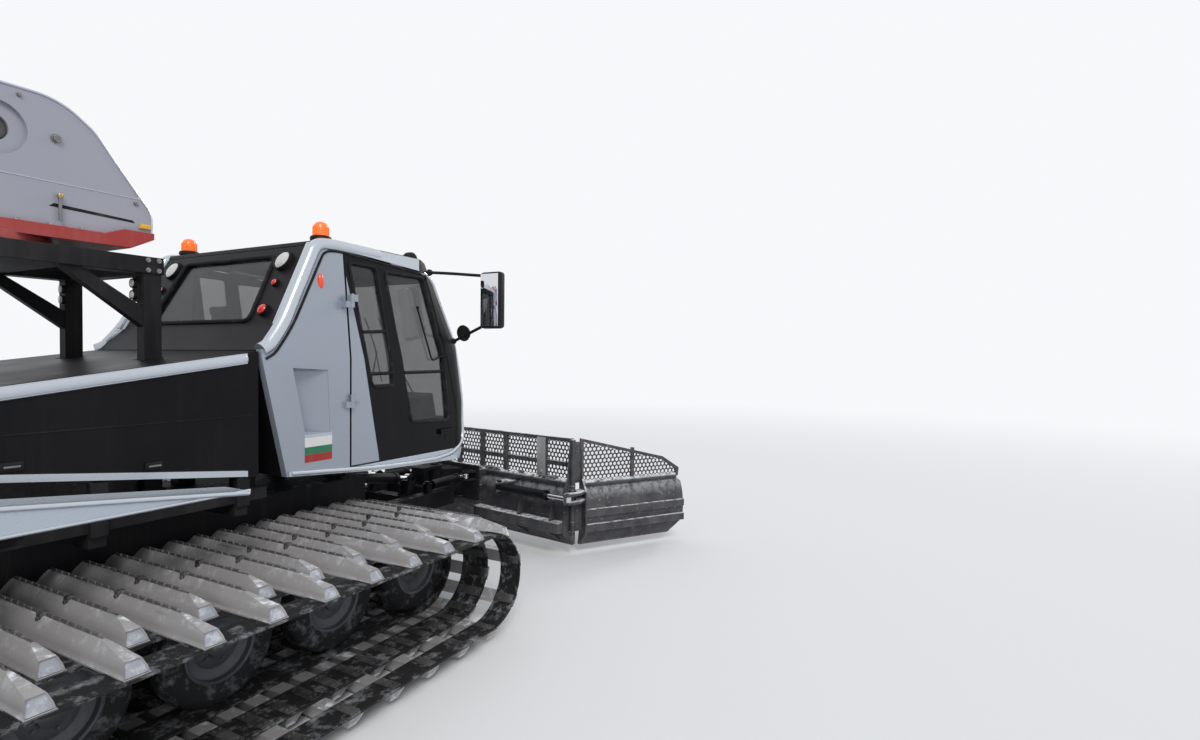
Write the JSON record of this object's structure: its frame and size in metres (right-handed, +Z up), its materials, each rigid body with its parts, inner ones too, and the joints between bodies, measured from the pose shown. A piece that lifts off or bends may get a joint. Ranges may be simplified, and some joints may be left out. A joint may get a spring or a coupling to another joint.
{
  "type": "snow groomer with blade, winch and tiller",
  "caption": "Tracked snow groomer: cab with hinged doors, folding front blade on a lift frame, slewing cable winch on a portal frame, and a rear rotary tiller.",
  "frame": {"origin": "on the ground under the middle of the bounding box, with the machine standing on its tracks", "axes": "+X forward, +Y to the left, +Z up"},
  "size_m": [9.6671, 4.7355, 3.48],
  "materials": {
    "panel_paint": "satin",
    "black_paint": "satin",
    "frame_paint": "satin",
    "red_paint": "satin",
    "blade_paint": "satin",
    "steel": "satin",
    "rod_chrome": "polished",
    "aluminium": "satin",
    "rubber": "matte",
    "tyre": "matte",
    "window_glass": "polished",
    "orange_lens": "polished",
    "lamp_lens": "polished",
    "black_plastic": "matte",
    "seat_cloth": "matte"
  },
  "bodies": {
    "hull": {"tub": "frame_paint", "running_gear": "frame_paint", "wheels_left": "tyre", "wheels_right": "tyre", "sprockets": "steel", "belts_left": "rubber", "belts_right": "rubber", "grousers_left": "aluminium", "grousers_right": "aluminium", "engine": "steel", "engine_cover": "black_paint", "deck": "frame_paint", "fenders": "panel_paint", "portal_frame": "frame_paint", "cab_floor": "panel_paint", "cab_sides": "panel_paint", "cab_rear": "black_paint", "cab_roof": "black_paint", "cab_front": "black_paint", "cab_glass": "window_glass", "seats": "seat_cloth", "dashboard": "black_plastic", "mirrors": "black_plastic", "beacons": "orange_lens", "lamps": "lamp_lens", "trim": "aluminium"},
    "door_left": {"door_left": "black_paint", "door_left_glass": "window_glass"},
    "door_right": {"door_right": "black_paint", "door_right_glass": "window_glass"},
    "winch": {"winch_base": "red_paint", "winch_plates": "panel_paint", "winch_boom": "panel_paint"},
    "drum": {"winch_drum": "steel"},
    "pulley": {"boom_pulley": "steel"},
    "lift_frame": {"lift_arms": "frame_paint"},
    "lift_barrels": {"lift_barrels": "frame_paint"},
    "lift_rods": {"lift_rods": "rod_chrome"},
    "swivel_head": {"swivel_head": "frame_paint"},
    "angle_barrel_left": {"angle_barrel_left": "frame_paint"},
    "angle_rod_left": {"angle_rod_left": "rod_chrome"},
    "angle_barrel_right": {"angle_barrel_right": "frame_paint"},
    "angle_rod_right": {"angle_rod_right": "rod_chrome"},
    "blade": {"blade": "blade_paint", "blade_mesh": "blade_paint"},
    "wing_left": {"wing_left": "blade_paint", "wing_left_mesh": "blade_paint"},
    "wing_right": {"wing_right": "blade_paint", "wing_right_mesh": "blade_paint"},
    "wing_barrel_left": {"wing_barrel_left": "frame_paint"},
    "wing_rod_left": {"wing_rod_left": "rod_chrome"},
    "wing_barrel_right": {"wing_barrel_right": "frame_paint"},
    "wing_rod_right": {"wing_rod_right": "rod_chrome"},
    "tiller": {"tiller_frame": "frame_paint", "tiller_hood": "red_paint", "finisher": "rubber"},
    "tiller_barrels": {"tiller_barrels": "frame_paint"},
    "tiller_rods": {"tiller_rods": "rod_chrome"},
    "rotor": {"tiller_rotor": "steel"}
  },
  "joints": [
    {"name": "door_left", "type": "hinge", "parent": "hull", "child": "door_left", "pos_m": [0.854, 1.022, 1.7], "axis": [0, 0, 1], "range_deg": [0, 80]},
    {"name": "door_right", "type": "hinge", "parent": "hull", "child": "door_right", "pos_m": [0.854, -1.022, 1.7], "axis": [0, 0, -1], "range_deg": [0, 80]},
    {"name": "winch_slew", "type": "hinge", "parent": "hull", "child": "winch", "pos_m": [-1.05, 0, 2.56], "axis": [0, 0, 1], "continuous": true},
    {"name": "drum_spin", "type": "hinge", "parent": "winch", "child": "drum", "pos_m": [-0.905, 0, 3.14], "axis": [0, 1, 0], "continuous": true},
    {"name": "pulley_spin", "type": "hinge", "parent": "winch", "child": "pulley", "pos_m": [-4.11, 0, 3.33], "axis": [0, 1, 0], "continuous": true},
    {"name": "blade_lift", "type": "hinge", "parent": "hull", "child": "lift_frame", "pos_m": [1.5, 0, 0.6], "axis": [0, -1, 0], "range_deg": [-6, 20]},
    {"name": "lift_barrel_turn", "type": "hinge", "parent": "hull", "child": "lift_barrels", "pos_m": [1.473, 0, 0.905], "axis": [0, -1, 0], "range_deg": [-5.9, 19.18]},
    {"name": "lift_rod_slide", "type": "slide", "parent": "lift_barrels", "child": "lift_rods", "axis": [0.9873, 0, -0.1588], "range_m": [-0.1076, 0.0337]},
    {"name": "blade_angle", "type": "hinge", "parent": "lift_frame", "child": "swivel_head", "pos_m": [2.85, 0, 0.6], "axis": [0, 0, 1], "range_deg": [-15, 35]},
    {"name": "angle_barrel_left_turn", "type": "hinge", "parent": "lift_frame", "child": "angle_barrel_left", "pos_m": [2.33, 0.38, 0.705], "axis": [0, 0, 1], "range_deg": [-2.69, 6.01]},
    {"name": "angle_rod_left_slide", "type": "slide", "parent": "angle_barrel_left", "child": "angle_rod_left", "axis": [0.9938, -0.1111, 0], "range_m": [-0.21, 0.0911]},
    {"name": "angle_barrel_right_turn", "type": "hinge", "parent": "lift_frame", "child": "angle_barrel_right", "pos_m": [2.33, -0.38, 0.705], "axis": [0, 0, 1], "range_deg": [-3.02, 6.78]},
    {"name": "angle_rod_right_slide", "type": "slide", "parent": "angle_barrel_right", "child": "angle_rod_right", "axis": [0.9989, 0.0474, 0], "range_m": [-0.0895, 0.2061]},
    {"name": "blade_tilt", "type": "hinge", "parent": "swivel_head", "child": "blade", "pos_m": [3.14544, -0.05209, 0.6], "axis": [0.9848, -0.1736, 0], "range_deg": [-8, 8]},
    {"name": "wing_right", "type": "hinge", "parent": "blade", "child": "wing_right", "pos_m": [3.07759, -1.58866, 0.33], "axis": [0, 0, 1], "range_deg": [-65, 10]},
    {"name": "wing_barrel_right_turn", "type": "hinge", "parent": "blade", "child": "wing_barrel_right", "pos_m": [3.05459, -0.71133, 0.605], "axis": [0, 0, 1], "range_deg": [-0.33, 1.01]},
    {"name": "wing_rod_right_slide", "type": "slide", "parent": "wing_barrel_right", "child": "wing_rod_right", "axis": [-0.1799, -0.9837, 0], "range_m": [-0.2179, 0.0352]},
    {"name": "wing_left", "type": "hinge", "parent": "blade", "child": "wing_left", "pos_m": [3.60722, 1.41501, 0.33], "axis": [0, 0, -1], "range_deg": [-65, 10]},
    {"name": "wing_barrel_left_turn", "type": "hinge", "parent": "blade", "child": "wing_barrel_left", "pos_m": [3.28554, 0.59846, 0.605], "axis": [0, 0, -1], "range_deg": [-0.33, 1.01]},
    {"name": "wing_rod_left_slide", "type": "slide", "parent": "wing_barrel_left", "child": "wing_rod_left", "axis": [0.1674, 0.9859, 0], "range_m": [-0.2179, 0.0352]},
    {"name": "tiller_lift", "type": "hinge", "parent": "hull", "child": "tiller", "pos_m": [-2.85, 0, 0.62], "axis": [0, 1, 0], "range_deg": [-4, 25]},
    {"name": "tiller_barrel_turn", "type": "hinge", "parent": "hull", "child": "tiller_barrels", "pos_m": [-2.87, 0, 1.01], "axis": [0, 1, 0], "range_deg": [-3.15, 18.63]},
    {"name": "tiller_rod_slide", "type": "slide", "parent": "tiller_barrels", "child": "tiller_rods", "axis": [-0.8716, 0, -0.4903], "range_m": [-0.162, 0.0276]},
    {"name": "rotor_spin", "type": "hinge", "parent": "tiller", "child": "rotor", "pos_m": [-3.98, 0, 0.3], "axis": [0, 1, 0], "continuous": true}
  ],
  "couplings": [
    {"joint": "lift_barrel_turn", "follows": "blade_lift", "ratio": 0.94919},
    {"joint": "lift_rod_slide", "follows": "blade_lift", "m_per_rad": -0.30257},
    {"joint": "angle_barrel_left_turn", "follows": "blade_angle", "ratio": 0.16592},
    {"joint": "angle_rod_left_slide", "follows": "blade_angle", "m_per_rad": -0.34051},
    {"joint": "angle_barrel_right_turn", "follows": "blade_angle", "ratio": 0.18794},
    {"joint": "angle_rod_right_slide", "follows": "blade_angle", "m_per_rad": 0.33418},
    {"joint": "wing_barrel_right_turn", "follows": "wing_right", "ratio": -0.0125},
    {"joint": "wing_rod_right_slide", "follows": "wing_right", "m_per_rad": 0.19034},
    {"joint": "wing_barrel_left_turn", "follows": "wing_left", "ratio": -0.0125},
    {"joint": "wing_rod_left_slide", "follows": "wing_left", "m_per_rad": 0.19034},
    {"joint": "tiller_barrel_turn", "follows": "tiller_lift", "ratio": 0.73708},
    {"joint": "tiller_rod_slide", "follows": "tiller_lift", "m_per_rad": -0.36664}
  ]
}
